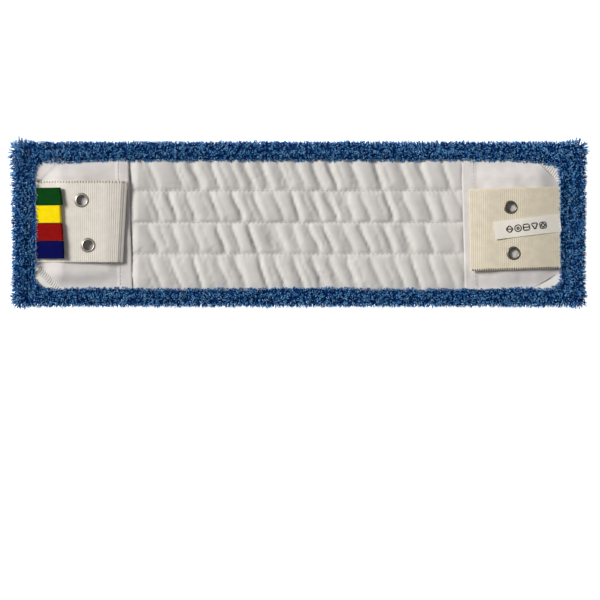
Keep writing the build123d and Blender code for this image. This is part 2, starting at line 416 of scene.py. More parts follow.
BACK_CLOTH = cloth("back_cloth", linear(229, 226, 222), linear(220, 216, 211))
POCKET_CLOTH = cloth("pocket_cloth", linear(238, 233, 230), linear(229, 223, 219))
PATCH_TAPE = cloth("patch_tape", linear(250, 246, 241), linear(242, 237, 231), threads=(0.9, 0.5))
WEBBING = {
    "left": webbing("left", (250, 243, 233), (240, 232, 220)),
    "right": webbing("right", (240, 229, 206), (226, 215, 192)),
}
# The right eyelets' dark base colour is partly the plating's own dull tone and partly a painted dark
# reflection.
EYELET_METAL = {
    "left": metal("bright_nickel", linear(214, 204, 192), 0.36),
    "right": metal("dull_nickel", linear(96, 86, 70), 0.36),
}
# The rolled lips are coloured lighter than their flanges as painted highlights.
LIP_HIGHLIGHT_METAL = {
    "left": metal("worn_bright_lip", linear(236, 228, 216), 0.4),
    "right": metal("worn_dull_lip", linear(186, 176, 156), 0.36),
}
# The bore's dark metal is painted shade inside the eyelet's hole.
BORE_SHADE_METAL = metal("eyelet_bore", linear(66, 58, 46), 0.6)
RIBBON = {
    "green": ribbon("green", (8, 68, 20), (5, 58, 14)),
    "yellow": ribbon("yellow", (250, 224, 10), (242, 210, 5)),
    "red": ribbon("red", (146, 14, 12), (132, 9, 9)),
    "blue": ribbon("blue", (4, 8, 82), (2, 5, 68)),
}
LABEL_SATIN = cloth("label_satin", linear(253, 247, 236), linear(248, 241, 229), 5.0, (0.3, 0.6), 0.02, 0.5)
PRINT_INK = cloth("label_print", linear(62, 58, 56), linear(44, 42, 42), 2.0, (0.3, 0.6), 0.02)
WHITE_THREAD = thread("white_thread", (236, 233, 228), (222, 218, 212))
QUILT_THREAD = thread("quilt_thread", (202, 196, 197), (186, 180, 182))
DARK_THREAD = thread("dark_thread", (30, 56, 92), (16, 38, 70))
# The edge threads are darker than their webbing, the right one much darker: this paints the shade in the
# holes between the stitches.
EDGE_THREAD = {
    "left": thread("pale_edge_thread", (206, 198, 184), (186, 178, 164)),
    "right": thread("shaded_edge_thread", (136, 132, 118), (112, 108, 94)),
}
WADDING = cloth("wadding", linear(228, 227, 224), linear(214, 213, 210), 3.0, (1.1, 0.9), 0.1)
GROUND_CLOTH = cloth("ground_cloth", linear(10, 62, 128), linear(6, 48, 104), 2.5, (0.9, 0.9), 0.1)


def yarn(name, *colours):
    """One plain material for each shade of yarn: the first is a darker shade, painted on each lock's foot as
    shade.
    """
    return [
        new_material(f"{name}_{number}", linear(*colour), 0.8, gloss=0.12)[0]
        for number, colour in enumerate(colours)
    ]


# The first shade in each list is painted shade for the locks' feet; a lock's tip takes the next lighter
# shade as a painted highlight.
BINDING_YARN = yarn(
    "binding_yarn", (2, 56, 122), (34, 102, 168), (58, 132, 198), (94, 164, 222), (160, 208, 242)
)
FACE_YARN = yarn(
    "face_yarn", (32, 98, 170), (68, 140, 206), (92, 162, 224), (120, 184, 238), (174, 219, 249)
)
SHADE_SHARES = (0.3, 0.34, 0.26, 0.1)


# ---------------------------------------------------------------- pile


LOCK_STEPS = 5
LOCK_SIDES = 3
LOCK_TAPER = np.array([0.9, 1.05, 1.0, 0.8, 0.3])
PILE_LOW = 0.55
PILE_HIGH = RIM_Z + 2.4


def locks(roots, normals, spec, seed, pull=None, stretch=1.0):
    """Paths of curled locks of yarn that start at roots. spec gives (least, most) length, bend in
    degrees, and how far the locks lean from the normal. pull is a direction that they bend towards,
    and stretch lengthens them."""
    rng = np.random.default_rng(seed)
    count = len(roots)
    start = unit(normals + spec["lean"] * rng.normal(size=(count, 3)))
    wish = rng.normal(size=(count, 3))
    if pull is not None:
        wish = wish + pull
    across = unit(np.cross(start, wish))
    toward = np.cross(across, start)
    length = rng.uniform(*spec["length"], count) * stretch
    bend = np.radians(rng.uniform(*spec["bend"], count))
    at = np.linspace(0, 1, LOCK_STEPS)
    angle = bend[:, None] * at
    way = np.cos(angle)[..., None] * start[:, None] + np.sin(angle)[..., None] * toward[:, None]
    walk = np.cumsum(way, 1) - way[:, :1]
    paths = roots[:, None] + walk * (length / LOCK_STEPS)[:, None, None]
    wiggle = rng.uniform(-0.3, 0.3, count)[:, None] * np.sin(2 * np.pi * at)
    return paths + across[:, None] * wiggle[..., None], across


def tufted(paths, size, share, seed):
    """Locks whose tips are drawn together into tufts about size apart, by a share of the way."""
    x, y, z = paths[:, 0].T
    sway = [noise(x + z, y + z, 1.5 * size, seed + k) for k in range(3)]
    cell = np.floor(paths[:, 0] / size + 0.8 * np.stack(sway, -1)).astype(int)
    group = np.unique(cell, axis=0, return_inverse=True)[1].ravel()
    total = np.zeros((group.max() + 1, 3))
    np.add.at(total, group, paths[:, -1])
    count = np.bincount(group)[:, None]
    pull = (total / count)[group] - paths[:, -1]
    at = np.linspace(0, 1, LOCK_STEPS) ** 1.5
    return paths + share * at[None, :, None] * pull[:, None]


def combing(x, y, seed):
    """Directions in plan that the pile is combed in, which change every few millimetres."""
    return np.stack([noise(x, y, COMB, seed), noise(x, y, COMB, seed + 1), 0 * x], -1)


def pile_piece(name, paths, across, radius, shades, seed):
    """Piece of many locks in several shades of yarn. Each lock's foot takes the first, darkest shade as
    painted shade, and its tip the next lighter shade as a painted highlight.
    """
    rng = np.random.default_rng(seed)
    thick = radius * rng.uniform(0.8, 1.2, len(paths))[:, None] * LOCK_TAPER
    points, quads, triangles = tubes(paths, across, thick, LOCK_SIDES)
    shade = rng.choice(np.arange(1, len(shades)), len(paths), p=SHADE_SHARES)
    level = np.repeat(np.arange(LOCK_STEPS - 3), LOCK_SIDES)
    # Painted light along each lock: the foot in the darkest shade as painted shade, the tip one shade
    # lighter as a painted highlight.
    shades_with_painted_foot_and_tip = np.stack([0 * shade, shade, shade, np.minimum(shade + 1, len(shades) - 1)], -1)
    quad_shade = shades_with_painted_foot_and_tip[:, level].ravel()
    cap = np.arange(2 * LOCK_SIDES) < LOCK_SIDES
    triangle_shade = np.where(cap[None], 0, shades_with_painted_foot_and_tip[:, -1:]).ravel()
    index = np.concatenate([quad_shade, triangle_shade])
    return mesh_piece(name, points, [quads, triangles], shades, index)


def wall_depth(x, y):
    """How far inside the binding's outer cloth wall a point is, negative outside it."""
    u = np.abs(x) - WALL_X + WALL_R
    v = np.abs(y) - WALL_Y + WALL_R
    outside = np.hypot(np.maximum(u, 0), np.maximum(v, 0)) + np.minimum(np.maximum(u, v), 0)
    return WALL_R - outside


def band_gap(x, y):
    """How far outside the working face, under the binding's band, a point is."""
    return np.maximum(np.abs(x) - FACE_BAND_X, np.abs(y) - FACE_BAND_Y)


def opening_gap(x, y):
    """How far outside the white opening a point is, negative inside it. Its corners are rounded."""
    gap = np.maximum(np.abs(x) - OPEN_X, np.abs(y) - OPEN_Y)
    for (side_x, side_y), (a, b) in OPENING_CORNERS.items():
        u = (x * side_x - OPEN_X + a) / a
        v = (y * side_y - OPEN_Y + b) / b
        here = (u > 0) & (v > 0)
        gap = np.where(here, (np.hypot(u, v) - 1) * min(a, b), gap)
    return gap


def rim_start(x, y):
    """Where the binding's pile begins, as a gap outside the opening. Its edge wanders a little."""
    ends = np.where(x < 0, RIM_START["left"], RIM_START["right"])
    rear = RIM_START["rear"] - REAR_RIM_IN * ease(np.abs(x), 150, 186)
    long_sides = np.where(y < 0, RIM_START["front"], rear)
    share = ease(np.abs(x) - OPEN_X - np.abs(y) + OPEN_Y, -12, 0)
    return long_sides + (ends - long_sides) * share + 0.6 * noise(x, y, 28.0, 37)


def rim_top(x, y):
    """Height of the binding's cloth under its pile, from above."""
    edge = wall_depth(x, y)
    rounding = 2.6 * rounded_off(edge, 3.5)
    lip = -0.9 * bell(opening_gap(x, y) - 2.0, 2.2)
    groove = np.where(x < 0, 2.2, 1.0) * bell(np.abs(x) - PAD_GROOVE_X, 1.3) * (edge > 4)
    lumps = 0.25 * noise(x, y, 11.0, 21) + 0.1 * noise(x, y, 4.0, 22)
    return np.maximum(RIM_Z - RIM_SKIN - rounding - lip - groove + lumps, PILE_SKIN)


def slope_normals(height, x, y, step=0.4):
    """Upward normals of a height function at points."""
    along_x = (height(x + step, y) - height(x - step, y)) / (2 * step)
    along_y = (height(x, y + step) - height(x, y - step)) / (2 * step)
    return unit(np.stack([-along_x, -along_y, np.ones_like(along_x)], -1))


def rim_outline(count):
    """Points and outward normals round the binding's outer cloth wall, evenly spaced."""
    half = np.array([WALL_X - WALL_R, WALL_Y - WALL_R])
    points = []
    normals = []
    for turn, (sx, sy) in enumerate(((1, 1), (-1, 1), (-1, -1), (1, -1))):
        angles = np.linspace(turn * np.pi / 2, (turn + 1) * np.pi / 2, 12)
        way = np.stack([np.cos(angles), np.sin(angles)], -1)
        points.append(half * [sx, sy] + way * WALL_R)
        normals.append(way)
    points = np.concatenate(points)
    normals = np.concatenate(normals)
    points = np.concatenate([points, points[:1]])
    normals = np.concatenate([normals, normals[:1]])
    walked = np.concatenate([[0], np.cumsum(np.linalg.norm(np.diff(points, axis=0), axis=1))])
    at = (np.arange(count) + 0.5) / count * walked[-1]
    place = np.stack([np.interp(at, walked, points[:, k]) for k in range(2)], -1)
    facing = unit(np.stack([np.interp(at, walked, normals[:, k]) for k in range(2)], -1))
    return place, facing


RIM_PITCH = 0.95
WALL_PITCH = 1.08
BAND_PITCH = 1.15
RIM_LOCK = {"length": (3.8, 6.0), "bend": (10, 60), "lean": 0.28}
COMB = 3.2
WALL_LOCK = {"length": (2.6, 5.8), "bend": (0, 35), "lean": 0.32}
BAND_LOCK = {"length": (3.6, 5.2), "bend": (70, 140), "lean": 0.3}
LOCK_RADIUS = 0.33
TUFT = 2.1
TUFT_SHARE = 0.55
ROOT_SINK = 0.3
OVER_FLAP_RISE = 1.6
WALL_LOW = 3.2
WALL_HIGH = 8.2


def corner_share(x, y):
    """1 at the pad's corners, where the pile stands out furthest, falling to 0 away from them."""
    return bell(np.hypot(np.abs(x) - PAD_X + 4, np.abs(y) - PAD_Y + 4), 7.0)


def rim_top_locks():
    """Locks on the binding's upper side."""
    at = scatter(-PAD_X, PAD_X, -PAD_Y, PAD_Y, RIM_PITCH, 31)
    x, y = at.T
    edge = wall_depth(x, y)
    gap = opening_gap(x, y)
    kept = (edge > 0) & (gap > rim_start(x, y))
    x, y, gap, edge = x[kept], y[kept], gap[kept], edge[kept]
    roots = np.stack([x, y, rim_top(x, y) - ROOT_SINK], -1)
    normals = slope_normals(rim_top, x, y)
    inward = unit(slope_normals(opening_gap, x, y) * [1, 1, 0])
    near = (1 - ease(gap - rim_start(x, y), 0.3, 4.5))[:, None]
    far = (1 - ease(edge, 0, 6))[:, None]
    combed = combing(x, y, 45)
    normals = unit(normals + (0.5 * near - 1.1 * far) * inward + 0.7 * combed)
    over_flap = near[:, 0] * (np.abs(x) > OPEN_X - 1) * (np.abs(y) < OPEN_Y - 14)
    cover = over_flap * np.where(x < 0, 1.0, 0.4)
    valley = 0.4 * bell(x + PAD_GROOVE_X, 1.6) * (edge > 4)
    stretch = (1 + 0.6 * corner_share(x, y)) * (1 - 0.4 * near[:, 0] + 0.4 * cover - valley)
    roots[:, 2] += OVER_FLAP_RISE * over_flap
    return locks(roots, normals, RIM_LOCK, 32, (1.2 * near - 1.0 * far) * inward + 2.5 * combed, stretch)


def rim_wall_locks():
    """Locks on the binding's outer wall."""
    place, facing = rim_outline(round((2 * PAD_X + 2 * PAD_Y) / WALL_PITCH))
    rows = np.arange(WALL_LOW, WALL_HIGH, WALL_PITCH * 0.87)
    rng = np.random.default_rng(33)
    place = np.repeat(place[None], len(rows), 0).reshape(-1, 2)
    facing = np.repeat(facing[None], len(rows), 0).reshape(-1, 2)
    z = np.repeat(rows, len(place) // len(rows)) + rng.uniform(-0.7, 0.7, len(place))
    along = np.stack([-facing[:, 1], facing[:, 0]], -1) * rng.uniform(-0.8, 0.8, (len(place), 1))
    roots = np.column_stack([place + along - facing * ROOT_SINK, z])
    rise = 0.5 * (z - (WALL_LOW + WALL_HIGH) / 2) / (WALL_HIGH - WALL_LOW)
    normals = unit(np.column_stack([facing, rise]))
    x, y = place.T
    right = 0.4 * y / PAD_Y * ease(x, OPEN_X, PAD_X - 6)
    left = (0.42 + 0.3 * y / PAD_Y) * ease(-x, OPEN_X, PAD_X - 6)
    stretch = 1 + 0.7 * corner_share(x, y) + 0.16 * noise(x, y, 24.0, 38) + right + left
    return locks(roots, normals, WALL_LOCK, 34, None, stretch)


def rim_band_locks():
    """Locks on the binding's band round the working face."""
    at = scatter(-PAD_X, PAD_X, -PAD_Y, PAD_Y, BAND_PITCH, 35)
    x, y = at.T
    edge = wall_depth(x, y)
    kept = (edge > 0) & (band_gap(x, y) > STITCH_GAP)
    x, y, edge = x[kept], y[kept], edge[kept]
    z = PILE_SKIN + 1.6 * (1 - ease(edge, 0, 2.5))
    roots = np.stack([x, y, z], -1)
    normals = np.tile([0.0, 0.0, -1.0], (len(x), 1))
    return locks(roots, normals, BAND_LOCK, 36)


def binding_pile():
    """The binding's pile, in two pieces for each side of the pad: its top, and its edge with the
    band round the working face."""
    wall = rim_wall_locks()
    band = rim_band_locks()
    fringe = [np.concatenate([wall[k], band[k]]) for k in range(2)]
    for part, (paths, across) in (("pile", rim_top_locks()), ("fringe", fringe)):
        paths = tufted(paths, TUFT, TUFT_SHARE, 39)
        paths[..., 2] = np.clip(paths[..., 2], PILE_LOW, PILE_HIGH)
        foot = paths[:, 0]
        ends = np.abs(foot[:, 0]) > OPEN_X
        sides = {
            "left_end": ends & (foot[:, 0] < 0),
            "right_end": ends & (foot[:, 0] > 0),
            "front": ~ends & (foot[:, 1] < 0),
            "rear": ~ends & (foot[:, 1] > 0),
        }
        for seed, (side, chosen) in enumerate(sides.items()):
            name = f"{side}_binding_{part}"
            piece = pile_piece(name, paths[chosen], across[chosen], LOCK_RADIUS, BINDING_YARN, 40 + seed)
            settle(piece, "pad", "microfibre_binding")
            if part == "pile":
                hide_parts(f"{side}_binding")


FACE_PITCH = 1.4
FACE_LOCK = {"length": (4.2, 6.6), "bend": (50, 130), "lean": 0.3}
FACE_RADIUS = 0.42
FACE_ROOT = 1.2
FACE_PARTS = ("left", "middle_left", "middle_right", "right")


def face_pile():
    """The working face's pile, in rows along the pad."""
    at = scatter(-FACE_BAND_X, FACE_BAND_X, -FACE_BAND_Y, FACE_BAND_Y, FACE_PITCH, 51)
    roots = np.column_stack([at, np.full(len(at), FACE_TOP - FACE_ROOT)])
    x, y = at.T
    combed = combing(x, y, 53)
    normals = unit(0.6 * combed + [0.0, 0.0, -1.0])
    quilted = np.min([np.abs(y - line) for line in QUILT_Y], axis=0)
    stretch = 1 - 0.3 * bell(quilted, 1.3)
    paths, across = locks(roots, normals, FACE_LOCK, 52, 2.0 * combed, stretch)
    paths = tufted(paths, TUFT, TUFT_SHARE, 59)
    paths[..., 2] = np.clip(paths[..., 2], PILE_LOW, None)
    part = np.clip((x / FACE_BAND_X + 1) / 2 * len(FACE_PARTS), 0, len(FACE_PARTS) - 0.01).astype(int)
    for seed, place in enumerate(FACE_PARTS):
        chosen = part == seed
        name = f"{place}_face_pile"
        piece = pile_piece(name, paths[chosen], across[chosen], FACE_RADIUS, FACE_YARN, 55 + seed)
        settle(piece, "pad", "microfibre_face")


RIM_GRID = 1.6
FACE_BAND_IN = 1.0


def snapped(x, y, inside, step=0.3):
    """Grid points moved onto a region's edge where they lie outside it. inside gives the depth."""
    for repeat in range(3):
        depth = inside(x, y)
        along_x = (inside(x + step, y) - inside(x - step, y)) / (2 * step)
        along_y = (inside(x, y + step) - inside(x, y - step)) / (2 * step)
        steep = np.maximum(np.hypot(along_x, along_y), 0.3)
        move = np.where(depth < 0, -depth, 0) / steep**2
        x = x + along_x * move
        y = y + along_y * move
    return x, y


def plate(inside, x, y, top, bottom):
    """Points and faces of a plate over the grid cells whose middles are inside a region.
    top and bottom are functions of x and y, or one height each."""
    centre = [sum(corners(v)) / 4 for v in (x, y)]
    keep = inside(*centre) > 0
    x, y = snapped(x, y, inside)
    heights = [h(x, y) if callable(h) else np.full_like(x, h) for h in (top, bottom)]
    return shell(np.stack([x, y, heights[0]], -1), np.stack([x, y, heights[1]], -1), keep)


def rim_depth(x, y):
    """How far inside the binding's cloth ring a point is, seen from above."""
    return np.minimum(wall_depth(x, y), opening_gap(x, y) - rim_start(x, y) - STITCH_GAP)


def band_depth(x, y):
    """How far inside the binding's band round the working face a point is."""
    return np.minimum(wall_depth(x, y), band_gap(x, y) - FACE_BAND_IN)


def rim_under(x, y):
    """Underside of the binding's upper cloth: down the pad's edge, and over the back cloth inside it."""
    edge = wall_depth(x, y)
    return PILE_SKIN - 0.3 + (FACE_TOP + 2.6 - PILE_SKIN) * ease(edge, 1.5, 1.9)


def binding_cloth():
    """The binding's cloth under its pile, wrapped round the pad's edge."""
    grid = plane_grid(-PAD_X, PAD_X, -PAD_Y, PAD_Y, RIM_GRID, RIM_GRID)
    upper, upper_faces = plate(rim_depth, *grid, rim_top, rim_under)
    lower, lower_faces = plate(band_depth, *grid, FACE_TOP - 1.3, PILE_SKIN)
    points, faces, index = joined([(upper, [upper_faces], 0), (lower, [lower_faces], 0)])
    piece = mesh_piece("binding_cloth", points, faces, [GROUND_CLOTH], index)
    settle(piece, "pad", "microfibre_binding")


def face_cloth():
    """The ground cloth that the working face's pile stands in."""
    x, y = plane_grid(-FACE_X + 2, FACE_X - 2, -FACE_Y + 2, FACE_Y - 2, 3.0, 3.0)
    ripple = 0.12 * noise(x, y, 9.0, 61)
    points, faces = sheet_shell(x, y, FACE_TOP - 0.2 + ripple, 0.8)
    piece = mesh_piece("face_cloth", points, [faces], [GROUND_CLOTH])
    settle(piece, "pad", "microfibre_face", "face_fabric")


def wadding():
    """The absorbent core, puffed up between the quilting lines."""
    x, y = plane_grid(-FACE_X + 2, FACE_X - 2, -FACE_Y + 2, FACE_Y - 2, 2.0, 2.0)
    upper = np.stack([x, y, back_height(x, y) - CLOTH_T - 0.45], -1)
    lower = np.stack([x, y, np.full_like(x, FACE_TOP + 0.1)], -1)
    points, faces = shell(upper, lower)
    piece = mesh_piece("absorbent_wadding", points, [faces], [WADDING])
    settle(piece, "pad", "wadding", "absorbent_core")


# ---------------------------------------------------------------- back cloth


CHANNEL_EDGES = [-OPEN_Y - 1.5, *QUILT_Y, OPEN_Y + 1.5]
BACK_X = OPEN_X + 3.5
BACK_Y = OPEN_Y + 2.2
PUFF = 2.7
PUCKER_PITCH = 3.6
FOLD_GAP = (11.5, 20.0)
FOLD_DEPTH = (1.6, 4.2)
FOLD_WIDTH = (1.9, 3.7)
FOLD_LEAN = -0.32
SIDE_FOLD_DEPTH = (0.0, 0.8)
CALM_X = 90.0


def fold(x, y, s, place, depth, width, rng):
    """Depth of one crease across a channel, where s runs from 0 to 1. It leans, bends and wanders,
    and fades towards one end."""
    lean = FOLD_LEAN * rng.uniform(0.8, 1.25)
    bow = rng.uniform(-0.7, 0.7)
    sway = rng.uniform(0.1, 1.0)
    line = place + lean * (y - y.mean()) + bow * np.sin(np.pi * s) + sway * np.sin(2 * np.pi * s)
    away = x - line
    wide = np.where(away < 0, width * rng.uniform(1.0, 2.2), width)
    fade = np.clip(1 + rng.uniform(-0.9, 0.9) * (s - 0.5), 0, 1.3)
    return depth * fade * bell(np.abs(away), wide, 1.5)


def folds(x, y, s, channel):
    """Depth of all of one channel's creases on a grid: the main ones, and fainter ones between them."""
    rng = np.random.default_rng(120 + channel)
    result = np.zeros_like(x)
    place = -QUILT_END - 4.0
    while place < QUILT_END:
        gap = rng.uniform(*FOLD_GAP)
        calm = 1 - 0.55 * ease(place, CALM_X - 20, CALM_X + 10)
        result += fold(x, y, s, place + gap, rng.uniform(*FOLD_DEPTH) * calm, rng.uniform(*FOLD_WIDTH), rng)
        between = place + gap * rng.uniform(0.3, 0.7)
        result += fold(x, y, s, between, rng.uniform(*SIDE_FOLD_DEPTH) * calm, rng.uniform(1.8, 3.2), rng)
        place += gap
    return result


def puffed(x, y):
    """Back cloth before it is gathered: crowned between its quilting lines, with the creases begun."""
    height = np.zeros_like(x)
    for channel, (low_y, high_y) in enumerate(zip(CHANNEL_EDGES[:-1], CHANNEL_EDGES[1:])):
        here = (y[0] > low_y) & (y[0] < high_y)
        s = (y[:, here] - low_y) / (high_y - low_y)
        crown = PUFF * np.sin(np.pi * s) ** 0.5
        creases = folds(x[:, here], y[:, here], s, channel) * np.sin(np.pi * s) ** 0.45
        height[:, here] = crown - creases
    return BACK_Z + height * (1 - ease(np.abs(x), QUILT_END - 1, QUILT_END + 5))


GATHER_GRID = 2.0
GATHER_SPARE = 0.006
GATHER_FRAMES = 10
GATHER_REACH = 1.6
GATHER_TOP = 13.2
BACK_GRID = (0.96, 0.95)


def gathered(x, y, height):
    """Cloth simulation of the back cloth, which is cut larger than the place that it is sewn into.
    It is held along its seams and quilting lines, and buckles into creases between them."""
    points = np.stack([x, y, height], -1).reshape(-1, 3)
    number = np.arange(x.size).reshape(x.shape)
    cells = np.stack(corners(number), -1)
    piece = mesh_piece("gathering", points, [cells.reshape(-1, 4)], [])
    seams = np.min([np.abs(y - line) for line in QUILT_Y], axis=0) < GATHER_GRID / 2
    held = seams | (np.abs(x) > QUILT_END + 3) | (np.abs(y) > OPEN_Y + 1)
    sewn = piece.vertex_groups.new(name="sewn")
    sewn.add(number[held].tolist(), 1.0, "REPLACE")
    calm = piece.vertex_groups.new(name="calm")
    for column, weight in enumerate(0.7 * ease(x[:, 0], CALM_X - 25, CALM_X + 15)):
        calm.add(number[column].tolist(), float(weight), "REPLACE")
    modifier = piece.modifiers.new("gather", "CLOTH")
    settings = modifier.settings
    settings.vertex_group_mass = "sewn"
    settings.vertex_group_shrink = "calm"
    settings.shrink_min = -GATHER_SPARE
    settings.shrink_max = 0
    settings.quality = 8
    settings.mass = 0.002
    settings.tension_stiffness = 20
    settings.compression_stiffness = 20
    settings.shear_stiffness = 8
    settings.bending_stiffness = 2.0
    settings.tension_damping = 8
    settings.compression_damping = 8
    settings.air_damping = 1
    settings.effector_weights.gravity = 0
    scene = bpy.context.scene
    scene.frame_start = 1
    scene.frame_end = GATHER_FRAMES
    modifier.point_cache.frame_end = GATHER_FRAMES
    for step in range(1, GATHER_FRAMES + 1):
        scene.frame_set(step)
    shape = piece.evaluated_get(bpy.context.evaluated_depsgraph_get()).data
    moved = np.empty(len(points) * 3, np.float32)
    shape.vertices.foreach_get("co", moved)
    scene.frame_set(1)
    mesh = piece.data
    bpy.data.objects.remove(piece)
    bpy.data.meshes.remove(mesh)
    change = moved.reshape(-1, 3) / MM - points
    result = points + np.clip(change, -GATHER_REACH, GATHER_REACH)
    result[:, 2] = np.clip(result[:, 2], BACK_Z - 0.3, GATHER_TOP)
    return result.reshape(*x.shape, 3)


def spline_weights(t):
    """Weights of the four grid points around a place t of the way between the middle two."""
    return np.stack([
        -0.5 * t + t**2 - 0.5 * t**3,
        1 - 2.5 * t**2 + 1.5 * t**3,
        0.5 * t + 2 * t**2 - 1.5 * t**3,
        -0.5 * t**2 + 0.5 * t**3,
    ], -1)


def on_grid(values, u, v):
    """Smooth values of a grid at places u and v, counted in its rows and columns."""
    rows, columns = values.shape
    i = np.clip(np.floor(u).astype(int), 0, rows - 2)
    j = np.clip(np.floor(v).astype(int), 0, columns - 2)
    across = spline_weights(u - i)
    along = spline_weights(v - j)
    total = np.zeros_like(u)
    for a in range(4):
        for b in range(4):
            near = values[np.clip(i + a - 1, 0, rows - 1), np.clip(j + b - 1, 0, columns - 1)]
            total = total + across[..., a] * along[..., b] * near
    return total


def make_back_surface():
    """The gathered cloth's points on a coarse grid, which everything that lies on it reads."""
    x, y = plane_grid(-BACK_X, BACK_X, -BACK_Y, BACK_Y, GATHER_GRID, GATHER_GRID)
    return gathered(x, y, puffed(x, y))


BACK_SURFACE = make_back_surface()


def back_point(x, y):
    """Points of the ruched back cloth's upper side, with the small puckers along its stitches."""
    rows, columns = BACK_SURFACE.shape[:2]
    u = np.clip((x + BACK_X) / (2 * BACK_X), 0, 1) * (rows - 1)
    v = np.clip((y + BACK_Y) / (2 * BACK_Y), 0, 1) * (columns - 1)
    place = [on_grid(BACK_SURFACE[..., k], u, v) for k in range(3)]
    pucker = np.zeros_like(x)
    for number, line in enumerate(QUILT_Y):
        away = y - line
        drift = 1.8 * noise(x, y, 13.0, 300 + number)
        beat = np.cos(2 * np.pi * (x + drift) / PUCKER_PITCH)
        strength = 0.5 + 0.5 * noise(x, y * 0, 9.0, 305 + number)
        below = 0.24 * strength * (0.35 + beat) * bell(away + 1.9, 1.2)
        above = -0.2 * strength * (0.6 + beat) * bell(away - 1.3, 0.9)
        groove = -0.45 * bell(away, 0.75)
        pucker = pucker + below + above + groove
    quilted = 1 - ease(np.abs(x), QUILT_END - 1, QUILT_END + 3)
    fine = 0.07 * noise(x, y, 6.0, 310) + 0.02 * noise(x, y, 2.0, 311)
    place[2] = place[2] + (pucker + fine) * quilted
    return np.stack(place, -1)


def back_height(x, y):
    """Height of the back cloth's upper side."""
    return back_point(x, y)[..., 2]


def back_cloth():
    """The back cloth between the bindings, gathered between its quilting lines."""
    upper = back_point(*plane_grid(-BACK_X, BACK_X, -BACK_Y, BACK_Y, *BACK_GRID))
    points, faces = shell(upper, upper - [0, 0, CLOTH_T])
    piece = mesh_piece("back_cloth", points, [faces], [BACK_CLOTH])
    settle(piece, "pad", "back_cloth", "backing_panel")


# ---------------------------------------------------------------- stitches


STITCH_STEPS = 7


def stitches(starts, ends, radius, rise, sides=6):
    """Points and faces of stitches that each arch a little from start to end."""
    at = np.linspace(0, 1, STITCH_STEPS)
    paths = starts[:, None] + (ends - starts)[:, None] * at[:, None]
    paths[..., 2] += rise * np.sin(np.pi * at)
    across = unit(np.cross(ends - starts, [0.0, 0.0, 1.0]))
    taper = radius * np.array([1, 0.75, 1, 1, 1, 0.75, 1])
    points, quads, triangles = tubes(paths, across, taper, sides)
    return points, [quads, triangles]


def stitch_row(line, height, pitch, share, radius, rise=0.2, slant=0.0):
    """Stitches along a straight line, given as its two ends in plan. height is a function of x and y."""
    first, last = (np.array(end, float) for end in line)
    length = np.linalg.norm(last - first)
    way = (last - first) / length
    side = np.array([-way[1], way[0]])
    at = np.arange(0, length - pitch * share, pitch)[:, None]
    starts = first + way * at - side * slant
    ends = first + way * (at + pitch * share) + side * slant
    ends_3d = [np.column_stack([p, height(p[:, 0], p[:, 1])]) for p in (starts, ends)]
    return stitches(*ends_3d, radius, rise)


def thread_line(node, axis):
    """Ends in plan of the middle line of a CAD thread that runs along an axis."""
    ends = []
    for edge in (low, high):
        end = [middle(node, X), middle(node, Y)]
        end[axis] = edge(node, axis)
        ends.append(tuple(end))
    return ends


def stitch_piece(name, rows, material, body, node, slot):
    """Piece made of rows of stitches, in place of a CAD thread."""
    points, faces, index = joined([(row_points, row_faces, 0) for row_points, row_faces in rows])
    piece = mesh_piece(name, points, faces, [material], index)
    settle(piece, body, slot, node)
    return piece


QUILT_STITCH = {"pitch": 3.6, "share": 0.62, "radius": 0.3}


def quilting():
    """White stitches along the quilting lines."""
    for place, y in zip(("front", "middle", "rear"), QUILT_Y):
        line = ((-QUILT_END, y), (QUILT_END, y))
        row = stitch_row(line, lambda u, v: back_height(u, v) + 0.1, **QUILT_STITCH)
        node = f"{place}_quilting_thread"
        stitch_piece(f"{place}_quilting_stitches", [row], QUILT_THREAD, "pad", node, "white_thread")


BINDING_STITCH = {"pitch": 3.2, "share": 0.75, "radius": 0.4}


def binding_stitches():
    """Dark stitches that hold the binding's band to the working face."""
    for side in ("front", "rear", "left_end", "right_end"):
        node = f"{side}_binding_thread"
        z = middle(node, Z)
        line = thread_line(node, X if side in ENDS else Y)
        row = stitch_row(line, lambda x, y, z=z: np.full_like(x, z), rise=-0.15, **BINDING_STITCH)
        stitch_piece(f"{side}_binding_stitches", [row], DARK_THREAD, "pad", node, "dark_thread")


# ---------------------------------------------------------------- pockets


POCKET_T = 0.6
POCKET_UNDER = 1.4
POCKET_RAMP = 20.0
POCKET_CUT = 20.0
POCKET_SEWN_IN = 1.5
POCKET_GRID = (1 / 90, 1 / 64)
HEM = 10.0
HEM_T = 0.45
TAPE_T = 0.6
OVER_TAPE = (31, 35)
HEM_SEAM = 1.2
HEM_STITCH = {"pitch": 3.0, "share": 0.7, "radius": 0.26}
MOUTH_DROP = {"left": 3.9, "right": 2.8}
MOUTH_RAMP = 42.0
MOUTH_SKEW = -1.4
CORNER_CUT = {("left", "rear"): (5.0, 1.0), ("right", "front"): (23.0, 0.6)}
PRESS = {"left": 0.5, "right": -0.4}
PRESS_R = {"left": 4.6, "right": 3.2}
POCKET_FLAT_Y = high("left_pocket_thread", Y)
POCKET_SIDE_Y = high("left_pocket", Y)
POCKET_LOW = low("left_pocket", Z) + POCKET_T
POCKET_HIGH = high("left_pocket", Z) - 0.8


def ends_of(node):
    """X of a side piece's sewn end and of its free end."""
    ends = (low(node, X), high(node, X))
    return ends if ends[0] < 0 else ends[::-1]


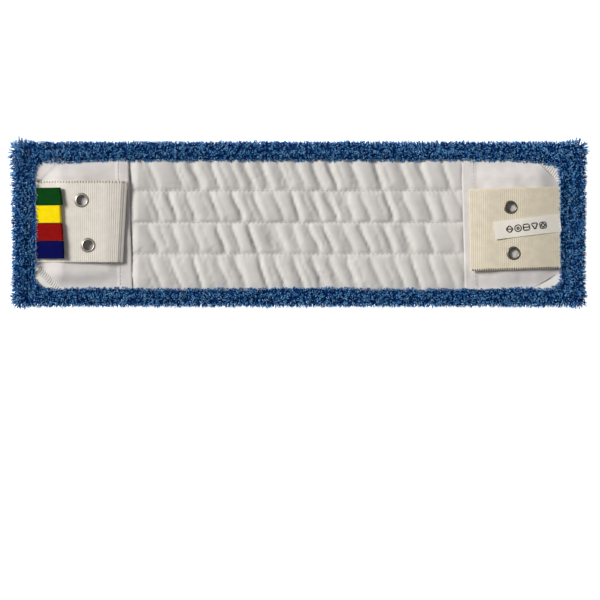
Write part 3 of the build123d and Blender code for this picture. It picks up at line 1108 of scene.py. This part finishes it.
def pocket_height(side, x, y):
    """Upper side of a pocket's cloth, without its hem."""
    seam, mouth = ends_of(f"{side}_pocket")
    from_seam = np.abs(x - seam) * (np.sign(x - seam) == np.sign(mouth - seam))
    rise = ease(from_seam, 0, POCKET_RAMP) * ease(np.abs(y), POCKET_SIDE_Y, POCKET_FLAT_Y)
    droop = MOUTH_DROP[side] * ease(np.abs(x - mouth), MOUTH_RAMP, 0)
    seed = 400 if side == "left" else 410
    soft = 0.9 * noise(x + 0.5 * y, y, 13.0, seed) + 0.25 * noise(x, y, 6.0, seed + 1)
    tucks = 0.25 * noise(x, y * 0.12, 3.2, seed + 2) * ease(np.abs(y), 40, 50)
    return POCKET_LOW + (POCKET_HIGH - POCKET_LOW - droop) * rise + (soft + tucks) * (0.25 + 0.75 * rise)


def pressed(side, x, y):
    """How far a pocket's cloth dips under the flap's eyelets, negative where it rises instead."""
    depth = np.zeros_like(x)
    for a, b in eyelet_places(side):
        depth = depth + PRESS[side] * bell(np.hypot(x - a, y - b), PRESS_R[side], 6)
    return depth


def mouth_shift(y):
    """How far a pocket's mouth stands from the place that its CAD gives, along X."""
    return MOUTH_SKEW * y / POCKET_SIDE_Y


def pocket_cloth(side, end):
    """Points and faces of half a pocket's cloth, with its hem turned under at the mouth."""
    seam, mouth = ends_of(f"{side}_pocket")
    sign = SIDES[side]
    way = ENDS[end]
    root = seam + sign * POCKET_UNDER
    along, over = plane_grid(0, 1, 0, 1, *POCKET_GRID)
    x = root + (mouth - root) * along
    inner = np.abs(x - seam) * (np.sign(x - seam) != sign)
    cut, slope = CORNER_CUT.get((side, end), (POCKET_CUT, 1.0))
    half = POCKET_SIDE_Y + POCKET_SEWN_IN - slope * np.maximum(cut - inner, 0)
    y = way * half * over
    top = pocket_height(side, x, y) - pressed(side, x, y)
    if cut < POCKET_CUT:
        top = top + TAPE_T * ease(np.abs(y) - inner, *OVER_TAPE)
    from_mouth = np.abs(x - mouth)
    hem = HEM_T * ease(from_mouth, HEM + 0.7, HEM - 0.2)
    roll = 0.45 * rounded_off(from_mouth, 0.9)
    seam_dip = 0.28 * bell(from_mouth - HEM + HEM_SEAM, 0.6)
    askew = x + along**3 * mouth_shift(y)
    upper = np.stack([askew, y, top + hem - roll - seam_dip], -1)
    lower = np.stack([askew, y, top - POCKET_T + roll * 0.4], -1)
    if way * sign > 0:
        upper, lower = upper[:, ::-1], lower[:, ::-1]
    return shell(upper, lower)


def hem_stitches(side, end):
    """Points and faces of the stitches along half a pocket's hem."""
    mouth = ends_of(f"{side}_pocket")[1]
    hem_x = mouth + SIDES[side] * (HEM - HEM_SEAM)
    spots = [ENDS[end] * 0.8, ENDS[end] * (POCKET_SIDE_Y - 1)]
    line = [(hem_x + 0.68 * mouth_shift(y), y) for y in spots]
    return stitch_row(line, lambda x, y: pocket_height(side, x, y) + HEM_T - 0.1, **HEM_STITCH)


def pocket_half(side, end):
    """Half a pocket's cloth with the stitches along its hem, in place of the pocket's CAD node and thread.
    """
    seam, mouth = ends_of(f"{side}_pocket")
    cloth_points, cloth_faces = pocket_cloth(side, end)
    points, faces, index = joined([(cloth_points, [cloth_faces], 0), (*hem_stitches(side, end), 1)])
    materials = [POCKET_CLOTH, WHITE_THREAD]
    piece = mesh_piece(f"{side}_pocket_{end}_half", points, faces, materials, index, 60)
    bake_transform(piece)
    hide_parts(f"{side}_pocket", f"{side}_pocket_thread")


# ---------------------------------------------------------------- flaps, eyelets, ribbons and label


FLAP_T = 1.0
FLAP_RAMP = 24.0
FLAP_LEVEL = 31.0
FLAP_ROOT = {"left": 0.5, "right": 2.2}
FLAP_UNDER = {"left": 2.4, "right": 0.6}
FLAP_DROP = {"left": 1.9, "right": 1.4}
DROP_L = 16
TIP_CURL = {"left": 1.7, "right": 0.3}
CURL_L = 5
FLAP_SHEAR = {"left": 0.0, "right": -2.2}
FLAP_SHIFT = {"left": 0.0, "right": 0.6}
TIP_SKEW = {"left": 1.8, "right": -0.6}
TIP_SHIFT = {"left": 0.5, "right": -0.4}
RIB_PITCH = 1.6
RIB_DEPTH = 0.07
EYELET_HOLE = 4.35
EDGE_STITCH = {"left": 2.2, "right": 1.8}
EDGE_STITCH_R = 0.34
EDGE_STITCH_IN = 1.7


def flap_height(side, x, y):
    """Upper side of a flap's webbing, without its ribs."""
    seam, tip = ends_of(f"{side}_flap")
    root_z = low(f"{side}_flap", Z) + FLAP_ROOT[side]
    from_seam = np.maximum((x - seam) * np.sign(tip - seam), 0)
    rise = ease(from_seam, 0, FLAP_RAMP)
    if side == "right":
        rise = 1 - (1 - np.clip(from_seam / FLAP_LEVEL, 0, 1)) ** 1.5
    from_tip = np.abs(x - tip)
    droop = FLAP_DROP[side] * ease(from_tip, DROP_L, 0) + TIP_CURL[side] * ease(from_tip, CURL_L, 0)
    seed = 500 if side == "left" else 510
    return root_z + (high(f"{side}_flap", Z) - root_z) * rise - droop + 0.18 * noise(x, y, 19.0, seed) * rise


def flap_plan(side, x, y):
    """Points of a flap as it was sewn in: a little askew, with its end cut at a slant."""
    seam, tip = ends_of(f"{side}_flap")
    share = np.clip((x - seam) / (tip - seam), 0, 1)
    half = (high(f"{side}_flap", Y) - low(f"{side}_flap", Y)) / 2
    across = (y - middle(f"{side}_flap", Y)) / half
    move = ease(share, 0.75, 1) * (TIP_SHIFT[side] + TIP_SKEW[side] * across)
    return x + move, y + FLAP_SHIFT[side] + FLAP_SHEAR[side] * share


def eyelet_places(side):
    """Middles of a flap's two eyelets in plan."""
    names = [f"{side}_{end}_eyelet" for end in ENDS]
    return [(middle(name, X), middle(name, Y)) for name in names]


def flap(side):
    """A flap of ribbed webbing with its eyelet holes."""
    node = f"{side}_flap"
    seam, tip = ends_of(node)
    sign = SIDES[side]
    ends = sorted((seam + sign * FLAP_UNDER[side], tip))
    x, y = plane_grid(*ends, low(node, Y), high(node, Y), RIB_PITCH / 7, 0.9)
    centre_y = middle(node, Y)
    half_y = high(node, Y) - centre_y
    y = centre_y + (y - centre_y) * (1 + 0.006 * noise(x, y * 0, 9.0, 520))

    def inside(u, v):
        place = flap_plan(side, u, v)
        depths = [np.hypot(place[0] - a, place[1] - b) - EYELET_HOLE for a, b in eyelet_places(side)]
        return np.minimum(*depths)

    def top(u, v):
        edge = np.minimum(np.abs(u - tip), half_y - np.abs(v - centre_y))
        ribs = RIB_DEPTH * np.cos(2 * np.pi * u / RIB_PITCH) * ease(np.abs(u - tip), 0.3, 1.5)
        soft = 0.4 * rounded_off(edge, 1.0)
        return flap_height(side, u, v) + ribs - soft

    def bottom(u, v):
        return flap_height(side, u, v) - FLAP_T

    points, faces = plate(inside, x, y, top, bottom)
    points[:, 0], points[:, 1] = flap_plan(side, points[:, 0], points[:, 1])
    piece = mesh_piece(f"{side}_flap_webbing", points, [faces], [WEBBING[side]], sharp=60)
    settle(piece, node, "webbing_white" if side == "left" else "webbing_cream", node)


def flap_stitches(side):
    """Two rows of stitches that finish one edge of a flap."""
    node = f"{side}_flap"
    seam = ends_of(node)[0]
    line = thread_line(f"{node}_thread", X)
    centre_y = middle(node, Y)
    half_y = high(node, Y) - centre_y
    way = np.sign(line[0][1] - centre_y)
    u = np.arange(min(line[0][0], seam), max(line[1][0], seam), EDGE_STITCH[side])
    spots = []
    for v in (centre_y + way * (half_y + 0.25), centre_y + way * (half_y - EDGE_STITCH_IN)):
        v = v + 0.15 * noise(u, u * 0, 3.0, 525)
        spots.append(np.stack([*flap_plan(side, u, v), flap_height(side, u, v) + 0.12], -1))
    row = stitches(*spots, EDGE_STITCH_R, 0.15)
    stitch_piece(f"{node}_stitches", [row], EDGE_THREAD[side], node, f"{node}_thread", "white_thread")


EYELET_TURNS = 56
EYELET_R = {"left": 5.9, "right": 5.4}
BORE_R = 3.75
EYELET_RAISE = 0.2
BORE_STEPS = (8, 9, 10)
LIP_STEPS = (5, 6)


def eyelet_profile(node, outer, bore):
    """Radius and height of an eyelet's outline: its flange, the lip rolled over it, and its barrel."""
    top = high(node, Z) + EYELET_RAISE
    foot = low(node, Z) + EYELET_RAISE
    flange = top - 1.2
    return np.array([
        [outer - 0.1, flange], [outer, flange + 0.2], [outer - 0.25, flange + 0.45],
        [outer - 0.7, flange + 0.65], [bore + 1.25, top - 0.25], [bore + 0.9, top - 0.05],
        [bore + 0.6, top], [bore + 0.3, top - 0.1], [bore + 0.08, top - 0.4], [bore, top - 0.8],
        [bore, foot], [bore + 0.45, foot], [bore + 0.45, flange],
    ])


def eyelet(side, end):
    """A pressed eyelet with a rolled lip round its bore, and the washer that it is riveted to."""
    node = f"{side}_{end}_eyelet"
    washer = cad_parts[f"{node}_washer"]
    washer.data.materials.clear()
    washer.data.materials.append(EYELET_METAL[side])
    profile = eyelet_profile(node, EYELET_R[side], BORE_R)
    turn = np.linspace(0, 2 * np.pi, EYELET_TURNS, endpoint=False)
    dent = 1 + 0.012 * np.cos(3 * turn + 1) + 0.008 * np.cos(5 * turn)
    centre = np.array([middle(node, X), middle(node, Y)])
    spin = np.stack([np.cos(turn), np.sin(turn)], -1) * dent[:, None]
    ring = centre + spin[:, None] * profile[None, :, :1]
    rise = np.broadcast_to(profile[None, :, 1:], (*ring.shape[:2], 1))
    points = np.concatenate([ring, rise], -1).reshape(-1, 3)
    steps = len(profile)
    number = np.arange(len(points)).reshape(EYELET_TURNS, steps)
    beside = np.roll(number, -1, 0)
    quads = np.stack([number, beside, np.roll(beside, -1, 1), np.roll(number, -1, 1)], -1).reshape(-1, 4)
    step = np.arange(steps)
    # The lip faces take the lighter metal as a painted highlight, and the bore faces the dark metal as
    # painted shade.
    part = np.where(np.isin(step, BORE_STEPS), 1, np.where(np.isin(step, LIP_STEPS), 2, 0))
    index = np.tile(part, EYELET_TURNS)
    metals = [EYELET_METAL[side], BORE_SHADE_METAL, LIP_HIGHLIGHT_METAL[side]]
    piece = mesh_piece(f"{node}_ring", points, [quads], metals, index, 50)
    settle(piece, f"{side}_flap", f"{side}_eyelet_metal", node)


TAG_RISE = 20.0
TAG_SPARE = {"green": 0.1, "yellow": -0.3, "red": 1.1, "blue": 1.9}
TAG_SLANT = {"green": 0.13, "yellow": 0.05, "red": 0.07, "blue": 0.02}
TAG_FOLD = 2.7
TAG_UNDER = 1.4
TAG_ROOT_GAP = 0.65
RIBBON_T = 0.45
TAG_STEPS = 26


def tag_path(length):
    """Line of a folded ribbon seen from the side: out along its lower half, round, and back."""
    at = np.linspace(0, 1, TAG_STEPS)
    lower = np.column_stack([length * at - TAG_UNDER * (1 - at), 0.25 + 0.15 * np.sin(np.pi * at)])
    gap = TAG_ROOT_GAP + (TAG_FOLD - RIBBON_T - TAG_ROOT_GAP) * at**1.3
    upper = np.column_stack([lower[:, 0], lower[:, 1] + gap + 0.25 * np.sin(np.pi * at)])
    turn = np.linspace(-np.pi / 2, np.pi / 2, 12)[1:-1]
    radius = gap[-1] / 2
    fold_x = length + radius * 0.8 * np.cos(turn)
    fold_z = lower[-1, 1] + radius * (1 + np.sin(turn))
    return np.concatenate([lower, np.column_stack([fold_x, fold_z]), upper[::-1]])


def tag(colour):
    """A folded loop of coloured ribbon that stands up a little from the flap's root."""
    node = f"{colour}_tag"
    y0, y1 = low(node, Y), high(node, Y)
    seed = TAG_COLOURS.index(colour)
    root = np.array([low(node, X), low(node, Z) - 0.4])
    length = (high(node, X) + TAG_SPARE[colour] - root[0]) / math.cos(math.radians(TAG_RISE))
    path = tag_path(length)
    facing = unit(np.gradient(path, axis=0)) @ np.array([[0.0, 1.0], [-1.0, 0.0]])
    across = np.linspace(y0, y1, 22)
    edge = np.minimum(across - y0, y1 - across)
    selvedge = 0.08 * bell(edge - 0.5, 0.35)
    sheets = []
    for side in (1, -1):
        offset = side * (RIBBON_T / 2 + selvedge)[None, :, None] * facing[:, None]
        flat = path[:, None] + offset
        wave = 0.22 * noise(across[None] + 0 * flat[..., 0], path[:, None, 0], 7.0, 530 + seed)
        along = flat[..., 0] - TAG_SLANT[colour] * (across - across.mean()) * path[:, None, 0] / length
        up = flat[..., 1] + wave * np.clip(path[:, None, 0] / length, 0, 1)
        lift = math.radians(TAG_RISE)
        x = root[0] + along * math.cos(lift) - up * math.sin(lift)
        z = root[1] + along * math.sin(lift) + up * math.cos(lift)
        y = np.broadcast_to(across[None], x.shape)
        sheets.append(np.stack([x, y, z], -1))
    points, faces = shell(sheets[0][:, ::-1], sheets[1][:, ::-1])
    piece = mesh_piece(f"{colour}_ribbon_tag", points, [faces], [RIBBON[colour]], sharp=60)
    settle(piece, node, f"{colour}_ribbon", node)


LABEL_TURN = 7.0
LABEL_W = 14.0
LABEL_L = 51.5
LABEL_T = 0.3
LABEL_CURL = 0.9
LABEL_CURL_L = 16
LABEL_ROOT = (OPEN_X - 1.0, 0.8)


def label_point(u, v, lift):
    """Point on the label: u along it from its root, v across it, lift above its cloth."""
    turn = math.radians(180 + LABEL_TURN)
    x = LABEL_ROOT[0] + u * math.cos(turn) - v * math.sin(turn)
    y = LABEL_ROOT[1] + u * math.sin(turn) + v * math.cos(turn)
    to_corner = 0.4 + 0.6 * ease(v, -LABEL_W / 2, LABEL_W / 2)
    curl = LABEL_CURL * ease(u, LABEL_L - LABEL_CURL_L, LABEL_L) * to_corner
    rest = flap_height("right", np.minimum(x, high("right_flap", X)), y) + RIB_DEPTH + 0.2
    wave = 0.15 * noise(u, v, 12.0, 540) + 0.25 * ease(u, 2, 14)
    return np.stack([x, y, rest + curl + wave + lift], -1)


def mark_lines():
    """Five plain geometric marks, as closed or open lines in label coordinates."""
    turn = np.linspace(0, 2 * np.pi, 17)
    ring = np.stack([np.cos(turn), np.sin(turn)], -1)
    square = np.array([[-1, -1], [1, -1], [1, 1], [-1, 1], [-1, -1]]) * 0.9
    triangle = np.array([[-1, -0.9], [1, -0.9], [0, 1], [-1, -0.9]])
    diamond = np.array([[0, -1.1], [1.1, 0], [0, 1.1], [-1.1, 0], [0, -1.1]])
    bar = np.array([[-0.9, 0], [0.9, 0]])
    return [[square, ring * 0.5], [triangle], [square, bar], [ring, ring * 0.35], [diamond, bar]]


MARK_START = 13.0
MARK_PITCH = 6.6
MARK_SIZE = 2.6
STROKE_STEPS = 6
STROKE_R = 0.43


def care_label():
    """A satin label with a row of plain printed marks."""
    u, v = plane_grid(-1.2, LABEL_L, -LABEL_W / 2, LABEL_W / 2, 0.8, 0.8)
    upper = label_point(u, v, LABEL_T / 2)
    lower = label_point(u, v, -LABEL_T / 2)
    points, faces = shell(upper, lower)
    parts = [(points, [faces], 0)]
    for number, group in enumerate(mark_lines()):
        for line in group:
            places = line * MARK_SIZE + [MARK_START + number * MARK_PITCH, 0.3]
            t = np.linspace(0, 1, STROKE_STEPS + 1)
            for first, last in zip(places[:-1], places[1:]):
                spot = first + (last - first) * t[:, None]
                path = label_point(spot[:, 0], spot[:, 1], LABEL_T / 2 + 0.02)[None]
                across = unit(np.cross(path[:, -1] - path[:, 0], [0.0, 0.0, 1.0]))
                stroke, quads, triangles = tubes(path, across, STROKE_R, 6)
                parts.append((stroke, [quads, triangles], 1))
    points, faces, index = joined(parts)
    piece = mesh_piece("care_label_ribbon", points, faces, [LABEL_SATIN, PRINT_INK], index, 60)
    settle(piece, "care_label", "label_ribbon", "care_label")


TAPE_W = 11.0
HATCH_PITCH = 1.9
HATCH_OUT = (1.2, 7.5)
HATCH_SLANT = 1.0
HATCH_R = 0.32
TAPE_STITCH = {"pitch": 2.6, "share": 0.7, "radius": 0.24}
TAPE_STITCH_IN = 2.2


def corner_tape(side, end):
    """A strip of tape across a corner, where the pocket is cut off. Two corners are overstitched."""
    sx = SIDES[side]
    sy = ENDS[end]
    node = f"{side}_{end}_corner_patch"
    seam = ends_of(f"{side}_pocket")[0]
    start = np.array([seam, sy * (POCKET_SIDE_Y - POCKET_CUT - 0.5)])
    along_way = np.array([-sx, sy]) / math.sqrt(2)
    out_way = np.array([sx, sy]) / math.sqrt(2)
    length = POCKET_CUT * math.sqrt(2)
    p, q = plane_grid(-2, length + 2, 0.6, TAPE_W, 0.7, 0.7)
    x = start[0] + p * along_way[0] + q * out_way[0]
    y = start[1] + p * along_way[1] + q * out_way[1]
    x = np.clip(x, -OPEN_X - 2, OPEN_X + 2)
    y = np.clip(y, -OPEN_Y - 1.5, OPEN_Y + 1.5)

    def height(u, v):
        return high(node, Z) + 0.12 * noise(u, v, 5.0, 560)

    top = height(x, y) + 0.15 * bell(q - 1.2, 0.5)
    upper = np.stack([x, y, top], -1)
    lower = upper - [0, 0, TAPE_T]
    if sx * sy > 0:
        upper, lower = upper[:, ::-1], lower[:, ::-1]
    points, faces = shell(upper, lower)
    parts = [(points, [faces], 0)]
    rows = np.arange(1.5, length - 1, HATCH_PITCH)
    if sx * sy > 0:
        first = start + rows[:, None] * along_way + HATCH_OUT[0] * out_way
        last = start + (rows[:, None] + HATCH_SLANT) * along_way + HATCH_OUT[1] * out_way
        ends = [np.column_stack([spot, height(*spot.T) + 0.1]) for spot in (first, last)]
        hatch = stitches(*ends, HATCH_R, 0.15)
        parts.append((*hatch, 1))
    else:
        first = start + TAPE_STITCH_IN * out_way
        parts.append((*stitch_row((first, first + length * along_way), height, **TAPE_STITCH), 1))
    points, faces, index = joined(parts)
    piece = mesh_piece(f"{side}_{end}_corner_tape", points, faces, [PATCH_TAPE, WHITE_THREAD], index, 60)
    settle(piece, "pad", "patch_tape", node)


# ---------------------------------------------------------------- room and camera


FLOOR_SIZE = 4000.0
SKY_STRENGTH = 0.19
SKY_COLOUR = (0.93, 0.96, 1.0, 1)
SUN_STRENGTH = 3.05
SUN_COLOUR = (1.0, 0.985, 0.96)
SUN_SPREAD = 22
SUN_SIDE = (-0.72, 0.30, 0.62)
LENS = 210
VIEW_WIDTH = 0.4704
VIEW_MIDDLE = (0.0008, -0.0596)
VIEW_HEIGHT = 0.008


def stage():
    """White floor, soft light from the left, and a camera straight above."""
    points = np.array([[-1, -1, 0], [1, -1, 0], [1, 1, 0], [-1, 1, 0]]) * FLOOR_SIZE
    white, shader = new_material("white_floor", (1, 1, 1, 1), 1.0)
    shader.inputs["Emission Color"].default_value = (1, 1, 1, 1)
    shader.inputs["Emission Strength"].default_value = 1.0
    floor = mesh_piece("floor", points - [0, 0, 0.1], [np.array([[0, 1, 2, 3]])], [white])

    world = bpy.data.worlds.new("studio")
    world.use_nodes = True
    world.node_tree.nodes["Background"].inputs["Color"].default_value = SKY_COLOUR
    world.node_tree.nodes["Background"].inputs["Strength"].default_value = SKY_STRENGTH
    bpy.context.scene.world = world

    sun = bpy.data.lights.new("key", "SUN")
    sun.energy = SUN_STRENGTH
    sun.angle = math.radians(SUN_SPREAD)
    sun.color = SUN_COLOUR
    lamp = bpy.data.objects.new("key", sun)
    lamp.rotation_euler = Vector(SUN_SIDE).to_track_quat("Z", "Y").to_euler()
    bpy.context.scene.collection.objects.link(lamp)
    bpy.context.scene.view_settings.view_transform = "Standard"

    data = bpy.data.cameras.new("camera")
    data.lens = LENS
    camera = bpy.data.objects.new("camera", data)
    camera.location = (*VIEW_MIDDLE, VIEW_HEIGHT + VIEW_WIDTH * data.lens / data.sensor_width)
    bpy.context.scene.collection.objects.link(camera)
    bpy.context.scene.camera = camera


binding_pile()
binding_cloth()
binding_stitches()
face_pile()
face_cloth()
wadding()
back_cloth()
quilting()
for side in SIDES:
    for end in ENDS:
        corner_tape(side, end)
    for end in ENDS:
        pocket_half(side, end)
    flap(side)
    flap_stitches(side)
    for end in ENDS:
        eyelet(side, end)
for colour in TAG_COLOURS:
    tag(colour)
care_label()
stage()
